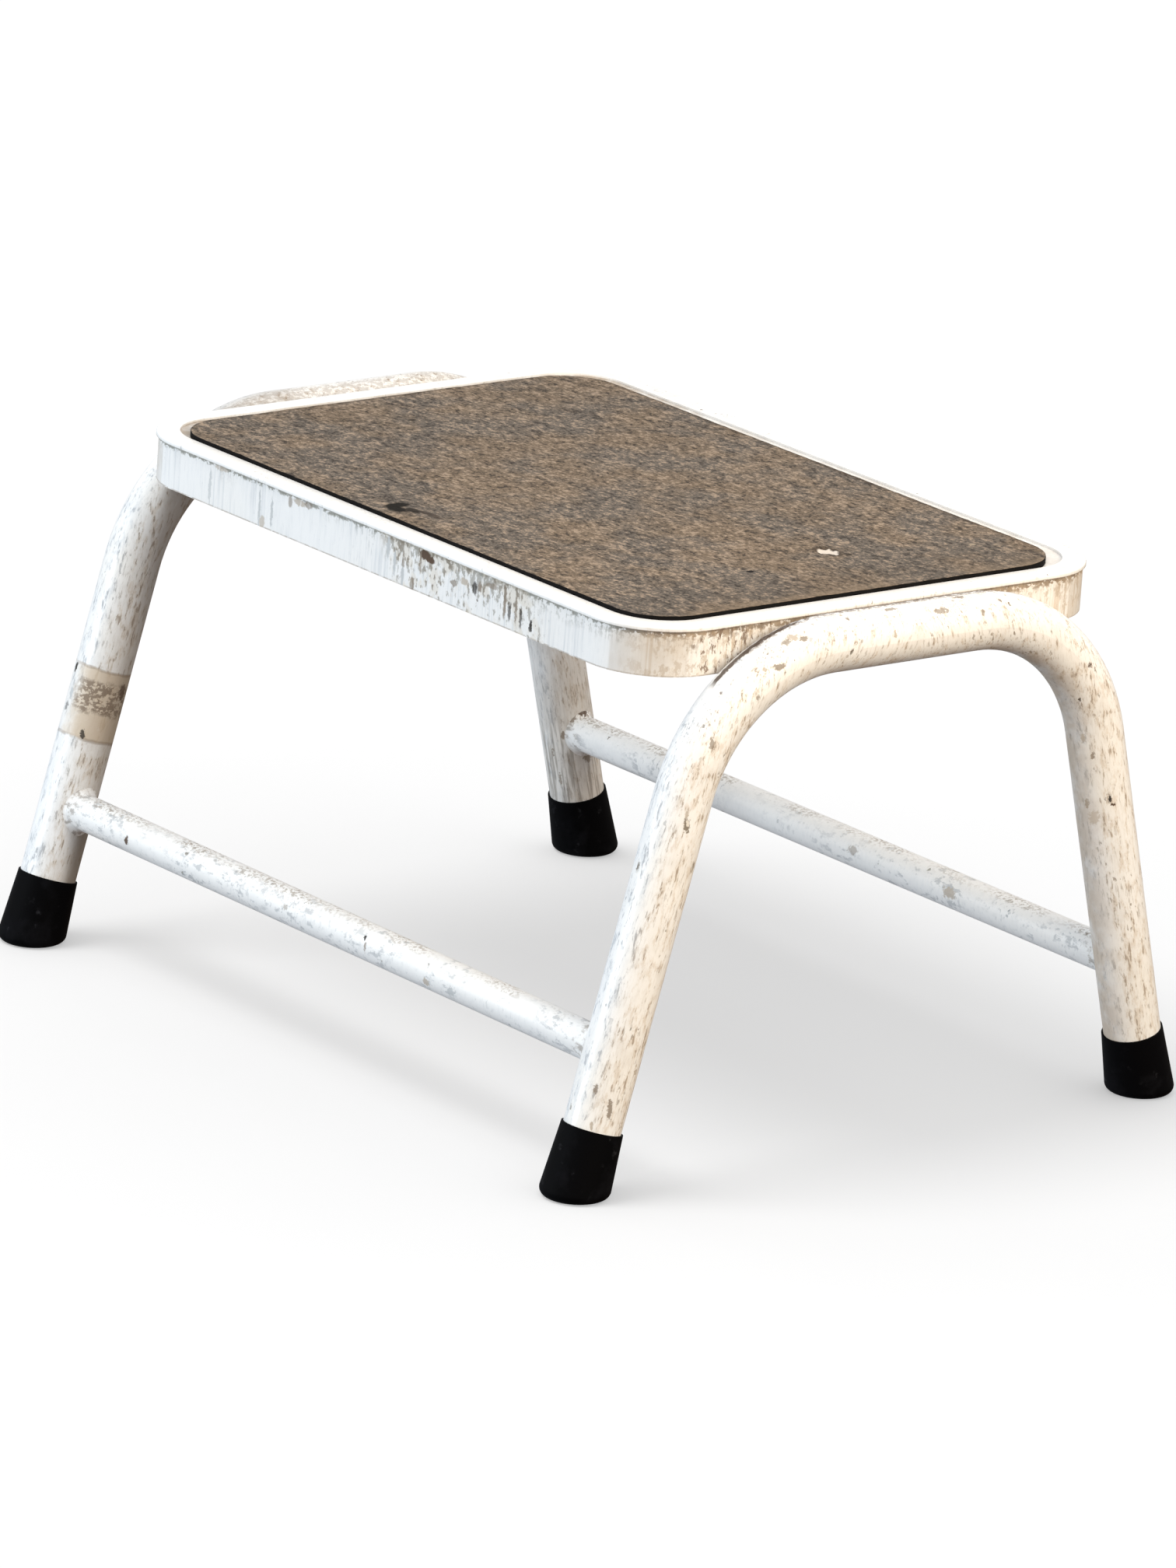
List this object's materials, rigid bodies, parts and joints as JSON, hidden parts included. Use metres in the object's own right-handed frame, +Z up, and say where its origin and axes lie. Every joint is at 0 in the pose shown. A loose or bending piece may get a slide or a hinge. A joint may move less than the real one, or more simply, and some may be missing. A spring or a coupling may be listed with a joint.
{
  "type": "mounting block",
  "caption": "Low step for getting on a horse: rubber-topped steel tray on two bent-tube end frames with stretchers and rubber ferrules.",
  "frame": {"origin": "on the floor, under the middle of the step", "axes": "+X to the right end along the tread's length, -Y to the front where the rider steps up, +Z up"},
  "size_m": [0.4264, 0.3474, 0.243],
  "materials": {
    "tray_paint": "old white gloss paint, worn, chipped at the rim and streaked with dirt",
    "tube_paint": "old white gloss paint, speckled with chips and grime",
    "rib_paint": "old white paint, dusty",
    "weld_paint": "smooth weld under old white paint",
    "mat_rubber": "black sheet rubber with a fine grain, its top worn and dusted to a taupe brown",
    "ferrule_rubber": "matt black moulded rubber with a little dust",
    "washer_steel": "plain steel washer"
  },
  "bodies": {
    "root": {"tray": "tray_paint", "rubber_mat": "mat_rubber", "front_tread_rib": "rib_paint", "rear_tread_rib": "rib_paint", "left_end_frame": "tube_paint", "right_end_frame": "tube_paint", "front_stretcher": "tube_paint", "rear_stretcher": "tube_paint", "front_left_stretcher_weld": "weld_paint", "front_right_stretcher_weld": "weld_paint", "rear_left_stretcher_weld": "weld_paint", "rear_right_stretcher_weld": "weld_paint", "left_bar_upper_weld": "weld_paint", "left_bar_lower_weld": "weld_paint", "right_bar_upper_weld": "weld_paint", "right_bar_lower_weld": "weld_paint", "front_left_ferrule": "ferrule_rubber", "front_left_ferrule_washer": "washer_steel", "front_right_ferrule": "ferrule_rubber", "front_right_ferrule_washer": "washer_steel", "rear_left_ferrule": "ferrule_rubber", "rear_left_ferrule_washer": "washer_steel", "rear_right_ferrule": "ferrule_rubber", "rear_right_ferrule_washer": "washer_steel"}
  },
  "joints": []
}
